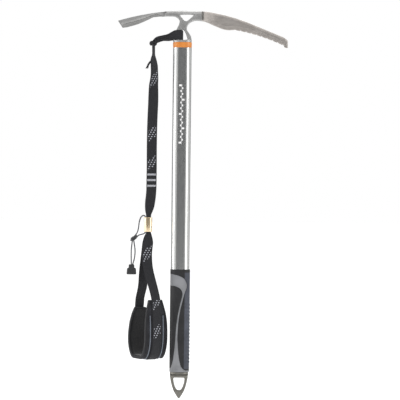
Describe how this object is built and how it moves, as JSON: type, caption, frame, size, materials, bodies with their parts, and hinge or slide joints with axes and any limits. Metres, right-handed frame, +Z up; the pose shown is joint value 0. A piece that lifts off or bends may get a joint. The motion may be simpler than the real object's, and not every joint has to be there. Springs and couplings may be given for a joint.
{
  "type": "ice axe",
  "caption": "Mountaineering ice axe with curved pick, scooped adze, oval metal shaft, rubber grip, spike with an eye, and a webbing wrist leash with a sliding adjuster hanging from the head.",
  "frame": {"origin": "in the head's upper eye on the shaft's centreline, where the axe hangs on a hook", "axes": "+X towards the pick, +Y along the eye's axis and across the flat faces, +Z up the shaft"},
  "size_m": [0.2854, 0.077, 0.6508],
  "materials": {
    "head_steel": "satin, bead blasted",
    "pick_steel": "satin, warm brushed",
    "weld_steel": "dark ground weld",
    "band_orange": "satin orange",
    "shaft_aluminium": "polished, anodised",
    "spike_steel": "satin cast",
    "grip_black": "matt rubber",
    "grip_grey": "matt rubber",
    "pad_rubber": "matt rubber",
    "webbing_black": "woven webbing",
    "thread_grey": "dense stitching",
    "cuff_fabric": "woven nylon",
    "cuff_fleece": "brushed lining",
    "binding_black": "grosgrain binding",
    "piping_blue_grey": "woven piping",
    "slider_gold": "polished gold anodised",
    "cord_black": "braided cord",
    "cord_end_plastic": "moulded matt plastic"
  },
  "bodies": {
    "axe": {"head_casting": "head_steel", "pick_blade": "pick_steel", "adze_blade": "head_steel", "pick_weld": "weld_steel", "head_pin": "weld_steel", "head_band": "band_orange", "shaft_tube": "shaft_aluminium", "spike": "spike_steel", "spike_pin": "spike_steel", "grip_sleeve": "grip_black", "grip_inlay": "grip_grey", "traction_pad": "pad_rubber", "hitch_loop": "webbing_black"},
    "knot": {"leash_knot": "webbing_black"},
    "leash": {"strap_upper": "webbing_black", "strap_tag": "webbing_black", "strap_end": "webbing_black", "bar_tacks": "thread_grey", "strap_doubled": "webbing_black", "leg_front": "webbing_black", "leg_back": "webbing_black", "cuff_pad": "cuff_fabric", "cuff_lining": "cuff_fleece", "cuff_binding": "binding_black", "cuff_webbing": "webbing_black", "cuff_piping": "piping_blue_grey"},
    "slider": {"slider_sleeve": "slider_gold", "pull_loop": "cord_black"},
    "pull_joint": {"pull_knot": "cord_black"},
    "pull": {"pull_tails": "cord_black", "cord_end": "cord_end_plastic"}
  },
  "joints": [
    {"name": "leash_side_swing", "type": "hinge", "parent": "axe", "child": "knot", "pos_m": [-0.0485, 0, -0.044], "axis": [0, 1, 0], "range_deg": [-0.5, 75]},
    {"name": "leash_fore_swing", "type": "hinge", "parent": "knot", "child": "leash", "pos_m": [-0.0485, 0, -0.044], "axis": [1, 0, 0], "range_deg": [-65, 65]},
    {"name": "slider_travel", "type": "slide", "parent": "leash", "child": "slider", "axis": [0, 0, 1], "range_m": [-0.05, 0.044], "deforming": ["strap_doubled", "leg_front", "leg_back"]},
    {"name": "pull_side_swing", "type": "hinge", "parent": "slider", "child": "pull_joint", "pos_m": [-0.0795, 0, -0.374], "axis": [0, 1, 0], "range_deg": [-2.5, 75]},
    {"name": "pull_fore_swing", "type": "hinge", "parent": "pull_joint", "child": "pull", "pos_m": [-0.0795, 0, -0.374], "axis": [1, 0, 0], "range_deg": [-65, 65]}
  ]
}
